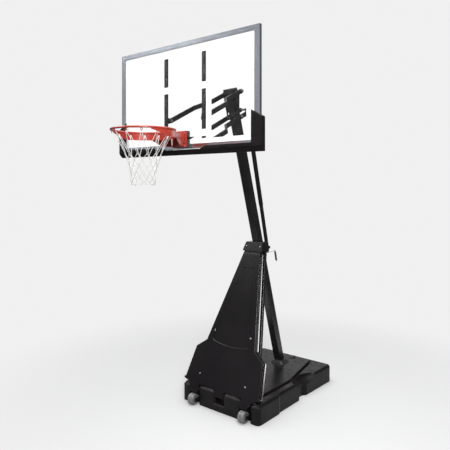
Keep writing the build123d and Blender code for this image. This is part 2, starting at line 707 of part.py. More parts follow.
def board_print():
    """White ink on the back of the panel: the border band and the shooter's square."""
    back = PANEL_BACK_Y
    front = back + PRINT_T
    half = BOARD_W / 2 - FRAME_SIDE_W
    z0 = BOARD_BOTTOM_Z + FRAME_RAIL_W
    z1 = BOARD_TOP_Z - FRAME_RAIL_W
    band = block(-half, half, back, front, z0, z1)
    band -= block(-BAND_X, BAND_X, back - 1, front + 1, BAND_LOW_Z, BAND_TOP_Z)
    outer = SQUARE_W / 2
    inner = outer - SQUARE_LINE
    square = block(-outer, outer, back, front, SQUARE_LOW_Z, SQUARE_HIGH_Z)
    square -= block(-inner, inner, back - 1, front + 1,
                    SQUARE_LOW_Z + SQUARE_LINE, SQUARE_HIGH_Z - SQUARE_LINE)
    return [band, square]


def frame_bar(width, length):
    """Hollow extrusion along Z: X is its width, outer edge at 0, groove in its inner edge."""
    bar = Box(width, FRAME_DEPTH, length, align=(Align.MAX, Align.MIN, Align.CENTER))
    groove = Pos(-width, PANEL_FRONT_Y - BOARD_FRONT_Y - 0.1, 0)
    bar -= groove * Box(width - 7.8, PANEL_T + 0.2, length + 2, align=(Align.MIN, Align.MIN, Align.CENTER))
    hollow = Box(width - 4, FRAME_DEPTH - 11.2, length + 2, align=(Align.MAX, Align.MIN, Align.CENTER))
    hollow = Pos(-2, 9.2, 0) * hollow
    return bar - hollow


def frame_side():
    """Right-hand side extrusion, full height."""
    z = (BOARD_TOP_Z + BOARD_BOTTOM_Z) / 2
    return Pos(BOARD_W / 2, BOARD_FRONT_Y, z) * frame_bar(FRAME_SIDE_W, BOARD_H)


def frame_rail(z, up):
    """Top or bottom extrusion between the two sides."""
    length = BOARD_W - 2 * FRAME_SIDE_W
    bar = frame_bar(FRAME_RAIL_W, length)
    turn = Rot(0, -90, 0) if up else Rot(0, 90, 0)
    return Pos(0, BOARD_FRONT_Y, z) * turn * bar


def board_tube():
    """Right-hand square tube behind the panel."""
    z0 = BOARD_BOTTOM_Z + FRAME_RAIL_W
    z1 = BOARD_TOP_Z - FRAME_RAIL_W
    tube = square_tube(TUBE_SIDE, 2.0, z1 - z0, 3)
    return Pos(TUBE_X, TUBE_FRONT_Y + TUBE_SIDE / 2, z0) * tube


def board_lugs():
    """Four pivot ears welded to the inner sides of the board tubes."""
    lugs = []
    for z in (UPPER_BOARD_Z, LOWER_BOARD_Z):
        low = max(z - 30, BOARD_BOTTOM_Z + 2)
        plate = block(LUG_X, LUG_X + 4, TUBE_FRONT_Y + 1, BOARD_PIVOT_Y, max(z - 24, low), z + 24)
        plate += rod_x(20, LUG_X, LUG_X + 4, BOARD_PIVOT_Y, z)
        plate -= block(LUG_X - 1, LUG_X + 5, BOARD_FRONT_Y, FRAME_BACK_Y + GAP,
                       0, BOARD_BOTTOM_Z + FRAME_RAIL_W + GAP)
        plate -= rod_x(PIN_R, LUG_X - 1, LUG_X + 5, BOARD_PIVOT_Y, z)
        lugs += both_sides(plate)
    return lugs


def board_bolts():
    """Four pivot bolts fixed in the board's ears, with a head inside and a nut outside."""
    inner = ARM_OUTER_X - ARM_THICK / 2
    bolts = []
    for z in (UPPER_BOARD_Z, LOWER_BOARD_Z):
        bolt = rod_x(PIN_R - FIT, inner - GAP, LUG_X + 4, BOARD_PIVOT_Y, z)
        bolt += hex_x(21, inner - GAP - 8, inner - GAP, BOARD_PIVOT_Y, z)
        bolt += hex_x(21, LUG_X + 4, LUG_X + 11, BOARD_PIVOT_Y, z)
        bolts += both_sides(bolt)
    return bolts


def mount_rail(z):
    """Flat bar across the board tubes."""
    edge = TUBE_X - TUBE_SIDE / 2 - 4.5
    return block(-edge, edge, TUBE_FRONT_Y, TUBE_FRONT_Y + 14, z - 14, z + 14)


# ---------------------------------------------------------------- pads


def frame_clearance():
    """The framed board's own space, which the pads leave free."""
    half = BOARD_W / 2 + GAP / 2
    return block(-half, half, BOARD_FRONT_Y - GAP / 2, FRAME_BACK_Y + GAP / 2,
                 BOARD_BOTTOM_Z - GAP / 2, BOARD_TOP_Z + 158)


def pad_section(top):
    """Section of the bottom pad in Y and Z, with a bevel that faces down and forward."""
    return [(PAD_FRONT_Y, top), (PAD_FRONT_Y, PAD_CREASE_Z), (PAD_FRONT_Y + 30, PAD_BOTTOM_Z),
            (PAD_BACK_Y, PAD_BOTTOM_Z), (PAD_BACK_Y, top)]


def corner_pad():
    """Right-hand L-shaped foam pad around the board's lower corner."""
    outer = BOARD_W / 2 + PAD_OUT
    foot = polygon_yz(pad_section(PAD_TOP_Z), 182, outer)
    wedge = make_face(Polyline((182, PAD_CREASE_Z), (252, PAD_TOP_Z + 1), (182, PAD_TOP_Z + 1), close=True))
    foot -= Pos(0, -1000, 0) * extrude(Plane.XZ * wedge, 200)
    side = make_face(Polyline((PAD_IN_X, PAD_TOP_Z - 30), (outer, PAD_TOP_Z - 30),
                              (outer, PAD_SIDE_Z), (PAD_IN_X, PAD_SIDE_Z + 56), close=True))
    upright = Pos(0, PAD_BACK_Y, 0) * extrude(Plane.XZ * side, PAD_BACK_Y - PAD_FRONT_Y)
    pad = foot + upright - frame_clearance()
    pad -= block(0, BOARD_W / 2 - FRAME_SIDE_W, PANEL_FRONT_Y - 0.5, PAD_BACK_Y + 5, BOARD_BOTTOM_Z, 3300)
    return pad


def edge_pad():
    """Thin middle strip under the board between the two corner pads."""
    strip = polygon_yz(pad_section(PAD_CREASE_Z + 6), -181.5, 181.5)
    return strip - frame_clearance()


# ---------------------------------------------------------------- rim


def rim_spacer():
    """Black pressed box between the board and the rim's housing."""
    front = BOARD_FRONT_Y - SPACER_T
    box = block(-RIM_PLATE_X, RIM_PLATE_X, front, PANEL_FRONT_Y, RIM_PLATE_LOW, RIM_PLATE_HIGH)
    box = fillet(box.edges().filter_by(Axis.Y), 5)
    low = BOARD_BOTTOM_Z + FRAME_RAIL_W + 0.2
    box -= block(-100, 100, BOARD_FRONT_Y, 0, 0, low)
    hollow = block(-RIM_PLATE_X + 3, RIM_PLATE_X - 3, front + 3, BOARD_FRONT_Y + 5,
                   RIM_PLATE_LOW + 3, RIM_PLATE_HIGH - 3)
    return box - hollow


def rim_housing():
    """Fixed face plate with the two hinge knuckles that the rim swings on."""
    back = BOARD_FRONT_Y - SPACER_T
    plate = block(-74, 74, back - 4, back, RIM_PLATE_LOW + 2, RIM_PLATE_HIGH - 2)
    for side in (-1, 1):
        ear = block(side * 66 - 4, side * 66 + 4, RIM_PIVOT_Y, back - 3, RIM_PIVOT_Z - 9, RIM_PIVOT_Z + 9)
        ear += rod_x(9, side * 66 - 4, side * 66 + 4, RIM_PIVOT_Y, RIM_PIVOT_Z)
        plate += ear
    return plate - rod_x(5 + FIT, -80, 80, RIM_PIVOT_Y, RIM_PIVOT_Z)


def rim_bolts():
    """Four bolt heads that clamp the rim's housing through the board."""
    back = BOARD_FRONT_Y - SPACER_T - 4
    heads = []
    for x in (-50, 50):
        for z in (2330, 2402):
            heads.append(Pos(x, back, z) * Rot(90, 0, 0) * Cylinder(7, 5, align=LOW))
    return heads


def rim_nuts():
    """Nuts on the rear of the mounting rails."""
    nuts = []
    for x in (-50, 50):
        for z in (2340, 2402):
            nuts.append(Pos(x, TUBE_FRONT_Y + 14, z) * Rot(-90, 0, 0) * Cylinder(7, 6, align=LOW))
    return nuts


def rim_bracket():
    """Sprung bracket: rear plate, flared top plate, two triangular wings and its hinge pin."""
    rear = block(-WING_ROOT_X - 4, WING_ROOT_X + 4, BRACKET_BACK_Y - 5, BRACKET_BACK_Y,
                 RIM_PIVOT_Z - 4, RIM_PLATE_HIGH - 4)
    top_z = RING_Z - RING_ROD
    flare = make_face(Polyline((-WING_ROOT_X - 4, BRACKET_BACK_Y - 4), (WING_ROOT_X + 4, BRACKET_BACK_Y - 4),
                               (WING_TIP_X, WING_TIP_Y), (-WING_TIP_X, WING_TIP_Y), close=True))
    top = Pos(0, 0, top_z - 4) * extrude(flare, 4)
    run = Vector(WING_TIP_X - WING_ROOT_X, BRACKET_BACK_Y - WING_TIP_Y, 0)
    turn = math.degrees(math.atan2(run.X, run.Y))
    plate = polygon_yz([(y - BRACKET_BACK_Y, z) for y, z in wing_points(top_z)], 0, 4)
    right = Pos(WING_ROOT_X, BRACKET_BACK_Y, 0) * Rot(0, 0, turn) * plate
    bracket = rear + top
    for half in both_sides(right):
        bracket += half
    bracket -= Pos(0, RING_Y, RING_Z) * Cylinder(RING_R + 2.2, 300)
    pin = rod_x(5, -72, 72, RIM_PIVOT_Y, RIM_PIVOT_Z)
    knuckle = rod_x(9, -60, 60, RIM_PIVOT_Y, RIM_PIVOT_Z)
    tie = block(-60, 60, BRACKET_BACK_Y - 4, RIM_PIVOT_Y, RIM_PIVOT_Z - 4, RIM_PIVOT_Z + 8)
    return bracket + pin + knuckle + tie


def wing_points(top_z):
    """Outline of one wing in its own plane: distance back from its root, and height."""
    length = math.hypot(WING_TIP_X - WING_ROOT_X, BRACKET_BACK_Y - WING_TIP_Y)
    root = BRACKET_BACK_Y
    return [(root - 14, RIM_PIVOT_Z - 4), (root - 14, top_z - 1), (root - length, top_z - 1),
            (root - length, top_z - 36), (root - 92, RIM_PIVOT_Z - 4)]


def rim_ring():
    """Round steel ring, 18 in clear."""
    return Pos(0, RING_Y, RING_Z) * Torus(RING_R, RING_ROD)


def rim_brace():
    """Curved skirt under the rear of the ring, which tapers away towards the front."""
    outer = RING_R + 2
    band = Cylinder(outer, BRACE_H, align=LOW) - Cylinder(outer - BRACE_T, BRACE_H, align=LOW)
    band = Pos(0, RING_Y, RING_Z - RING_ROD - BRACE_H) * band
    low = RING_Z - RING_ROD - BRACE_H
    front = RING_Y - RING_R * 0.47
    keep = polygon_yz([(RING_Y + 300, low - 5), (RING_Y + 300, RING_Z), (front, RING_Z),
                       (front, RING_Z - RING_ROD - 6), (RING_Y + 30, low), (RING_Y + 30, low - 5)], -300, 300)
    return band & keep


def net_hooks():
    """Small loops welded under the ring that hold the net."""
    hooks = []
    for i in range(HOOKS):
        angle = (i + 0.5) * 360 / HOOKS
        loop = Rot(90, 0, 0) * Torus(8, 2.2)
        place = Pos(0, RING_Y, RING_Z - RING_ROD - 6) * Rot(0, 0, angle)
        hooks.append(place * Pos(RING_R - 6, 0, 0) * Rot(0, 0, 90) * loop)
    return hooks


def net():
    """The net's space: a thin open funnel from the hooks down to its tail."""
    top = RING_Z - RING_ROD - 15
    outer = [(RING_R - 8, 0), (178, -90), (124, -210), (98, -290), (98, -NET_LENGTH + 15)]
    inner = [(r - 5, z) for r, z in reversed(outer)]
    section = make_face(Polyline(*[(r, 0, z) for r, z in outer + inner], close=True))
    return Pos(0, RING_Y, top) * revolve(section, Axis.Z)


# ---------------------------------------------------------------- build
def build_stand():
    """Tank, pole, struts, shroud, wheels and cap."""
    save("base_tank", base_tank())
    save("water_ballast", ballast_space(0.5))
    save("pole_boot", pole_boot())
    save("fill_cap", fill_cap())
    save("pole_lower", pole_section(72, 1010, False))
    save("pole_middle", pole_section(1010.5, 1950, True))
    save("pole_upper", pole_section(1950.5, POLE_TOP_Z, True))
    save("pole_cap", pole_cap())
    right = head_plate()
    save("head_plate_right", right)
    save("head_plate_left", mirror(right, about=Plane.YZ))
    save("head_spacers", *head_spacers())
    strut = front_strut()
    save("front_strut_right", strut)
    save("front_strut_left", mirror(strut, about=Plane.YZ))
    save("strut_feet", *both_sides(strut_foot()))
    save("strut_clamp", strut_clamp())
    save("cross_brace_upper", cross_brace(637))
    save("cross_brace_lower", cross_brace(269))
    save("front_shroud", front_shroud())
    save("shroud_collar", shroud_collar())
    save("shroud_bolts", *shroud_bolts())
    save("jack_bracket", jack_bracket())
    save("wheel_axles", wheel_axle(-WHEEL_X), wheel_axle(WHEEL_X))
    save("wheel_left", wheel(-WHEEL_X))
    save("wheel_right", wheel(WHEEL_X))


def build_lift():
    """Arms, pins, jack and crank."""
    upper = upper_arm()
    save("upper_arm_right", upper)
    save("upper_arm_left", mirror(upper, about=Plane.YZ))
    save("upper_pivot_pin", pivot_pin(UPPER_PIVOT_Z))
    lower = lower_arm()
    save("lower_arm_right", lower)
    save("lower_arm_left", mirror(lower, about=Plane.YZ))
    save("lower_pivot_pin", pivot_pin(LOWER_PIVOT_Z))
    save("tail_bolts", *tail_bolts())
    save("jack_lower_tube", jack_lower_tube())
    save("jack_ferrule", jack_ferrule())
    save("jack_sleeve", jack_sleeve())
    save("jack_tee", jack_tee())
    save("crank", crank())
    save("crank_grip", crank_grip())


def build_board():
    """Sheet, frame, tubes, pads and the rim's mount."""
    save("backboard_panel", backboard_panel())
    side = frame_side()
    save("frame_right", side)
    save("frame_left", mirror(side, about=Plane.YZ))
    save("frame_top", frame_rail(BOARD_TOP_Z, True))
    save("frame_bottom", frame_rail(BOARD_BOTTOM_Z, False))
    tube = board_tube()
    save("board_tube_right", tube)
    save("board_tube_left", mirror(tube, about=Plane.YZ))
    save("board_lugs", *board_lugs())
    save("board_bolts", *board_bolts())
    save("mount_rail_lower", mount_rail(2340))
    save("mount_rail_upper", mount_rail(2402))
    pad = corner_pad()
    save("corner_pad_right", pad)
    save("corner_pad_left", mirror(pad, about=Plane.YZ))
    save("edge_pad", edge_pad())
    save("rim_spacer", rim_spacer())
    save("rim_housing", rim_housing())
    save("rim_bolts", *rim_bolts(), *rim_nuts())
    save("board_print", *board_print())


def build_rim():
    """Ring, brace, bracket, hooks and net."""
    save("rim_ring", rim_ring())
    save("rim_brace", rim_brace())
    save("rim_bracket", rim_bracket())
    save("net_hooks", *net_hooks())
    save("net", net())


os.makedirs("parts", exist_ok=True)
build_stand()
build_lift()
build_board()
build_rim()
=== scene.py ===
import json
import math
import random

import bmesh
import bpy
from mathutils import Matrix, Vector

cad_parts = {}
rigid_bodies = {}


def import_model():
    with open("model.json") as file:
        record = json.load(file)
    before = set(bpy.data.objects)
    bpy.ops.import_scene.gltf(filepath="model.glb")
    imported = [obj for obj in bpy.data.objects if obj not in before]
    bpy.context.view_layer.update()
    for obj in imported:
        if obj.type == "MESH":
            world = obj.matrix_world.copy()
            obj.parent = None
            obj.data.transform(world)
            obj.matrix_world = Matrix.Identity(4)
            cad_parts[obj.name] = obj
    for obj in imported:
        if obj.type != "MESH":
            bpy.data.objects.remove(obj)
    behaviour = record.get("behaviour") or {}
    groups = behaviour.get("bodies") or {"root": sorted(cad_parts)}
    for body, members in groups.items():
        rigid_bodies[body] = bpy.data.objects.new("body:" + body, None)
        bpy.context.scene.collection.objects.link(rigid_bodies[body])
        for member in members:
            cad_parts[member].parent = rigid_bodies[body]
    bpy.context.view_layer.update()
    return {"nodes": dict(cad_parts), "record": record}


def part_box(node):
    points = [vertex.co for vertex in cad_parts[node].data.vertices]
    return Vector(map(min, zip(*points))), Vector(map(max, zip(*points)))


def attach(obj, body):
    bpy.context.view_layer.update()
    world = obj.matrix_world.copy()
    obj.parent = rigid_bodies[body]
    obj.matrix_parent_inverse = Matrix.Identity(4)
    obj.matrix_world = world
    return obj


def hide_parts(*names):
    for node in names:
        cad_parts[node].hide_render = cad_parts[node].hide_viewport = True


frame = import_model()
random.seed(7)

# ---------------------------------------------------------------- camera, light and floor
BACKDROP = 0.872                # linear value of a pale grey background
FLOOR = 0.61                    # albedo of the floor around the stand
BEHIND_SHEET = 1.17             # gain of the backdrop seen through the board
ROOM = 0.13                     # light that the surroundings give
ROOM_TINT = (0.93, 0.96, 1.0)   # slightly cool
FLOOR_R = 30.0
FADE_FROM = 0.9                 # the floor fades to the backdrop between these distances
FADE_TO = 3.2
CAMERA_PLACE = (2.867, -4.029, 1.998)
CAMERA_TURN = 0.688             # radians about Z
CAMERA_SHIFT = (-0.001, -0.0916)
LENS = 40.61                    # mm, on a sensor this wide
SENSOR = 36.0
scene = bpy.context.scene
scene.view_settings.view_transform = "Standard"


def make_camera():
    """Level camera in front of the hoop's right-hand side."""
    data = bpy.data.cameras.new("camera")
    data.sensor_width = SENSOR
    data.lens = LENS
    data.shift_x, data.shift_y = CAMERA_SHIFT
    data.clip_end = 100.0
    camera = bpy.data.objects.new("camera", data)
    camera.location = CAMERA_PLACE
    camera.rotation_euler = (math.radians(90), 0, CAMERA_TURN)
    scene.collection.objects.link(camera)
    scene.camera = camera


def backdrop_level(nodes, links, rays):
    """Backdrop strength: a little brighter where it is seen through the clear sheet."""
    level = nodes.new("ShaderNodeMapRange")
    level.inputs["To Min"].default_value = 1.0
    level.inputs["To Max"].default_value = BEHIND_SHEET
    links.new(rays.outputs["Transparent Depth"], level.inputs["Value"])
    return level.outputs["Result"]


def make_world():
    """Dim studio surroundings behind a flat pale backdrop."""
    world = bpy.data.worlds.new("studio")
    world.use_nodes = True
    nodes, links = world.node_tree.nodes, world.node_tree.links
    backdrop = nodes["Background"]
    backdrop.inputs["Color"].default_value = (BACKDROP, BACKDROP, BACKDROP, 1)
    room = nodes.new("ShaderNodeBackground")
    room.inputs["Color"].default_value = (*ROOM_TINT, 1)
    room.inputs["Strength"].default_value = ROOM
    rays = nodes.new("ShaderNodeLightPath")
    mix = nodes.new("ShaderNodeMixShader")
    links.new(backdrop_level(nodes, links, rays), backdrop.inputs["Strength"])
    links.new(rays.outputs["Is Camera Ray"], mix.inputs["Fac"])
    links.new(room.outputs["Background"], mix.inputs[1])
    links.new(backdrop.outputs["Background"], mix.inputs[2])
    links.new(mix.outputs["Shader"], nodes["World Output"].inputs["Surface"])
    scene.world = world


def area_light(name, place, target, size, power, group=None):
    """One soft box that faces a point; a group limits it to those objects."""
    data = bpy.data.lights.new(name, "AREA")
    data.shape = "RECTANGLE"
    data.size, data.size_y = size
    data.energy = power
    light = bpy.data.objects.new(name, data)
    light.location = place
    light.visible_camera = False
    light.rotation_euler = (Vector(target) - Vector(place)).to_track_quat("-Z", "Y").to_euler()
    scene.collection.objects.link(light)
    if group:
        light.light_linking.receiver_collection = group


def light_group(name, objects):
    """Collection of the objects that one light is limited to."""
    group = bpy.data.collections.new(name)
    for item in objects:
        group.objects.link(item)
    return group


def node_meshes(name):
    """Mesh objects of one CAD node."""
    node = frame["nodes"][name]
    return [item for item in (node, *node.children_recursive) if item.type == "MESH"]


def make_lights(floor):
    """Ceiling and key light everything; three more reach only the hoop and one only the shroud."""
    meshes = [item for item in scene.objects if item.type == "MESH" and item != floor]
    hoop = light_group("hoop_lit", meshes)
    trim = light_group("trim_lit", node_meshes("front_shroud"))
    area_light("ceiling", (0, 0, 6.5), (0, 0, 0), (7.0, 7.0), 520)
    area_light("key", (3.9, -4.6, 4.4), (0, -0.7, 1.5), (2.0, 2.0), 420)
    area_light("top", (-3.6, -2.6, 5.6), (0, -0.4, 0), (2.6, 2.6), 200, hoop)
    area_light("rear", (-2.8, 3.9, 2.1), (0, 0, 0.2), (3.0, 1.0), 19, hoop)
    area_light("card", (-3.9, -5.8, 3.6), (0, -1.0, 2.6), (4.8, 3.4), 15, hoop)
    area_light("edge", (1.1, 0.75, 0.72), (0.25, -0.3, 0.72), (0.9, 1.5), 90, trim)


def make_floor():
    """Pale floor that fades into the surroundings a few metres out."""
    bpy.ops.mesh.primitive_circle_add(vertices=96, radius=FLOOR_R, fill_type="NGON", location=(0, 0, 0))
    floor = bpy.context.object
    floor.name = "floor"
    mat = bpy.data.materials.new("floor")
    mat.use_nodes = True
    nodes, links = mat.node_tree.nodes, mat.node_tree.links
    nodes.clear()
    out = nodes.new("ShaderNodeOutputMaterial")
    mix = nodes.new("ShaderNodeMixShader")
    near = nodes.new("ShaderNodeBsdfDiffuse")
    near.inputs["Color"].default_value = (FLOOR, FLOOR, FLOOR, 1)
    far = nodes.new("ShaderNodeEmission")
    far.inputs["Color"].default_value = (BACKDROP, BACKDROP, BACKDROP, 1)
    dim = nodes.new("ShaderNodeEmission")
    dim.inputs["Color"].default_value = (ROOM, ROOM, ROOM, 1)
    rays = nodes.new("ShaderNodeLightPath")
    links.new(backdrop_level(nodes, links, rays), far.inputs["Strength"])
    seen = nodes.new("ShaderNodeMixShader")
    links.new(rays.outputs["Is Camera Ray"], seen.inputs["Fac"])
    links.new(dim.outputs["Emission"], seen.inputs[1])
    links.new(far.outputs["Emission"], seen.inputs[2])
    place = nodes.new("ShaderNodeTexCoord")
    length = nodes.new("ShaderNodeVectorMath")
    length.operation = "LENGTH"
    fade = nodes.new("ShaderNodeMapRange")
    fade.interpolation_type = "SMOOTHSTEP"
    fade.inputs["From Min"].default_value = FADE_FROM
    fade.inputs["From Max"].default_value = FADE_TO
    links.new(place.outputs["Object"], length.inputs[0])
    links.new(length.outputs["Value"], fade.inputs["Value"])
    links.new(fade.outputs["Result"], mix.inputs["Fac"])
    links.new(near.outputs["BSDF"], mix.inputs[1])
    links.new(seen.outputs["Shader"], mix.inputs[2])
    links.new(mix.outputs["Shader"], out.inputs["Surface"])
    floor.data.materials.append(mat)
    return floor


# ---------------------------------------------------------------- material tools
class Maker:
    """Node material under construction: one Principled shader and helpers that feed it."""

    def __init__(self, name):
        self.mat = bpy.data.materials.new(name)
        self.mat.use_nodes = True
        self.nodes = self.mat.node_tree.nodes
        self.links = self.mat.node_tree.links
        self.shader = self.nodes["Principled BSDF"]
        self.coords = self.nodes.new("ShaderNodeTexCoord").outputs["Object"]

    def set(self, **values):
        """Constants on the shader's sockets; an underscore stands for a space."""
        for key, value in values.items():
            self.shader.inputs[key.replace("_", " ")].default_value = value

    def stretched(self, scale):
        """Object coordinates scaled along each axis."""
        mapping = self.nodes.new("ShaderNodeMapping")
        mapping.inputs["Scale"].default_value = scale
        self.links.new(self.coords, mapping.inputs["Vector"])
        return mapping.outputs["Vector"]

    def noise(self, scale, detail=3.0, rough=0.55, stretch=None):
        """Cloudy 0 to 1 pattern."""
        node = self.nodes.new("ShaderNodeTexNoise")
        node.inputs["Scale"].default_value = scale
        node.inputs["Detail"].default_value = detail
        node.inputs["Roughness"].default_value = rough
        self.links.new(self.stretched(stretch) if stretch else self.coords, node.inputs["Vector"])
        return node.outputs["Fac"]

    def cells(self, scale):
        """Pebbled pattern: distance from the middle of each cell."""
        node = self.nodes.new("ShaderNodeTexVoronoi")
        node.feature = "F1"
        node.inputs["Scale"].default_value = scale
        self.links.new(self.coords, node.inputs["Vector"])
        return node.outputs["Distance"]

    def ramp(self, source, low, high, start=0.35, end=0.65):
        """Numbers from low to high as the source goes from start to end."""
        node = self.nodes.new("ShaderNodeMapRange")
        node.inputs["From Min"].default_value = start
        node.inputs["From Max"].default_value = end
        node.inputs["To Min"].default_value = low
        node.inputs["To Max"].default_value = high
        self.links.new(source, node.inputs["Value"])
        return node.outputs["Result"]

    def blend(self, factor, first, second):
        """Colour mix by a factor socket; each colour is a tuple or a socket."""
        node = self.nodes.new("ShaderNodeMix")
        node.data_type = "RGBA"
        self.links.new(factor, node.inputs["Factor"])
        for value, socket in ((first, node.inputs[6]), (second, node.inputs[7])):
            if isinstance(value, tuple):
                socket.default_value = (*value, 1)
            else:
                self.links.new(value, socket)
        return node.outputs[2]

    def mottle(self, source, dark, light):
        """Colour that wanders between two tones with a pattern."""
        return self.blend(self.ramp(source, 0.0, 1.0), dark, light)

    def multiply(self, first, second):
        """Product of two sockets."""
        node = self.nodes.new("ShaderNodeMath")
        node.operation = "MULTIPLY"
        self.links.new(first, node.inputs[0])
        self.links.new(second, node.inputs[1])
        return node.outputs[0]

    def feed(self, name, socket):
        """Link a socket to one of the shader's inputs."""
        self.links.new(socket, self.shader.inputs[name])

    def bump(self, *layers, edge=0.0):
        """Stack of (height socket, strength, depth in metres); edge rounds sharp corners."""
        normal = None
        if edge:
            bevel = self.nodes.new("ShaderNodeBevel")
            bevel.samples = 8
            bevel.inputs["Radius"].default_value = edge
            normal = bevel.outputs["Normal"]
        for height, strength, depth in layers:
            node = self.nodes.new("ShaderNodeBump")
            node.inputs["Strength"].default_value = strength
            node.inputs["Distance"].default_value = depth
            self.links.new(height, node.inputs["Height"])
            if normal is not None:
                self.links.new(normal, node.inputs["Normal"])
            normal = node.outputs["Normal"]
        self.feed("Normal", normal)

    def edges(self, radius):
        """Wear mask: 1 on sharp outer edges, 0 on flats."""
        bevel = self.nodes.new("ShaderNodeBevel")
        bevel.samples = 6
        bevel.inputs["Radius"].default_value = radius
        geometry = self.nodes.new("ShaderNodeNewGeometry")
        dot = self.nodes.new("ShaderNodeVectorMath")
        dot.operation = "DOT_PRODUCT"
        self.links.new(bevel.outputs["Normal"], dot.inputs[0])
        self.links.new(geometry.outputs["Normal"], dot.inputs[1])
        return self.ramp(dot.outputs["Value"], 1.0, 0.0, 0.86, 0.995)


# ---------------------------------------------------------------- materials
def tank_plastic():
    """Blow-moulded polyethylene: pebbled skin, soft sheen, pale scuffs on its edges."""
    m = Maker("tank_plastic")
    m.set(Specular_IOR_Level=0.11)
    broad = m.noise(5.0, 4.0)
    base = m.mottle(broad, (0.0050, 0.0042, 0.0046), (0.0095, 0.0082, 0.0088))
    scuff = m.multiply(m.edges(radius=0.006), m.ramp(m.noise(38.0, 5.0), 0.0, 0.55, 0.45, 0.7))
    m.feed("Base Color", m.blend(scuff, base, (0.07, 0.068, 0.07)))
    m.feed("Roughness", m.ramp(m.noise(22.0, 4.0), 0.30, 0.42))
    m.bump((m.cells(420.0), 0.14, 0.0004), (m.noise(9.0, 2.0), 0.18, 0.003), edge=0.006)
    return m.mat


def shroud_plastic():
    """Injection-moulded cover: even satin gloss with the faintest grain and flow marks."""
    m = Maker("shroud_plastic")
    m.set(Specular_IOR_Level=0.22, Coat_Weight=0.03, Coat_Roughness=0.2)
    broad = m.noise(1.6, 3.0)
    m.feed("Base Color", m.mottle(broad, (0.0050, 0.0042, 0.0048), (0.0080, 0.0068, 0.0076)))
    m.feed("Roughness", m.ramp(m.noise(7.0, 2.0, stretch=(1.0, 1.0, 0.2)), 0.25, 0.33))
    m.bump((m.noise(60.0, 1.0), 0.02, 0.0004), (m.noise(3.0, 1.0), 0.10, 0.004), edge=0.003)
    return m.mat


def dark_plastic():
    """Fine-grained black trim plastic."""
    m = Maker("dark_plastic")
    m.feed("Base Color", m.mottle(m.noise(30.0), (0.014, 0.013, 0.014), (0.026, 0.025, 0.026)))
    m.feed("Roughness", m.ramp(m.noise(60.0), 0.38, 0.5))
    m.bump((m.cells(700.0), 0.2, 0.0004), edge=0.002)
    return m.mat


def cap_plastic():
    """Filler cap: a slightly paler moulding."""
    m = Maker("cap_plastic")
    m.feed("Base Color", m.mottle(m.noise(30.0), (0.020, 0.017, 0.018), (0.034, 0.030, 0.031)))
    m.feed("Roughness", m.ramp(m.noise(60.0), 0.35, 0.5))
    m.bump((m.cells(600.0), 0.2, 0.0004), edge=0.0012)
    return m.mat


def black_steel():
    """Gloss powder coat: orange-peel surface, chips down to grey on a few edges."""
    m = Maker("black_steel")
    m.set(Specular_IOR_Level=0.45, Coat_Weight=0.2, Coat_Roughness=0.12)
    chips = m.multiply(m.edges(radius=0.0015), m.ramp(m.noise(95.0, 4.0), 0.0, 0.6, 0.64, 0.72))
    paint = m.mottle(m.noise(7.0), (0.0055, 0.0048, 0.0050), (0.010, 0.0085, 0.009))
    m.feed("Base Color", m.blend(chips, paint, (0.018, 0.017, 0.016)))
    m.feed("Roughness", m.ramp(m.noise(26.0, 4.0), 0.22, 0.34))
    m.bump((m.noise(160.0, 1.0), 0.015, 0.0003))
    return m.mat


def zinc_steel():
    """Zinc-plated fasteners: mottled bluish grey with a turned finish."""
    m = Maker("zinc_steel")
    m.set(Metallic=1.0)
    m.feed("Base Color", m.mottle(m.noise(60.0, 4.0), (0.42, 0.43, 0.45), (0.66, 0.66, 0.65)))
    m.feed("Roughness", m.ramp(m.noise(140.0, 3.0), 0.24, 0.42))
    m.bump((m.noise(800.0, 2.0), 0.15, 0.0003), edge=0.0008)
    return m.mat


def chrome_steel():
    """Bright nickel-chrome plate with faint handling marks."""
    m = Maker("chrome_steel")
    m.set(Metallic=1.0)
    m.feed("Base Color", m.mottle(m.noise(25.0), (0.20, 0.20, 0.21), (0.30, 0.30, 0.31)))
    m.feed("Roughness", m.ramp(m.noise(70.0, 5.0), 0.08, 0.20))
    m.bump((m.noise(500.0, 2.0), 0.05, 0.0002), edge=0.0008)
    return m.mat


def frame_aluminium():
    """Extruded aluminium, brushed along its length and clear anodised."""
    m = Maker("frame_aluminium")
    m.set(Metallic=1.0)
    lines = m.noise(1.0, 5.0, 0.7, stretch=(900.0, 900.0, 6.0))
    rows = m.noise(1.0, 5.0, 0.7, stretch=(6.0, 900.0, 900.0))
    grain = m.blend(along_x_mask(m), lines, rows)
    tone = m.mottle(m.noise(2.2, 2.0), (0.54, 0.58, 0.64), (0.66, 0.70, 0.76))
    m.feed("Base Color", m.blend(m.ramp(grain, 0.0, 0.45), tone, (0.60, 0.63, 0.67)))
    m.feed("Roughness", m.ramp(grain, 0.17, 0.30))
    m.bump((grain, 0.05, 0.0003))
    return m.mat


def along_x_mask(m):
    """1 on the board's top and bottom bars, 0 on its sides."""
    split = m.nodes.new("ShaderNodeSeparateXYZ")
    m.links.new(m.coords, split.inputs["Vector"])
    size = m.nodes.new("ShaderNodeMath")
    size.operation = "ABSOLUTE"
    m.links.new(split.outputs["X"], size.inputs[0])
    low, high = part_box("frame_right")
    return m.ramp(size.outputs[0], 1.0, 0.0, low[0] - 0.0005, low[0] + 0.0005)


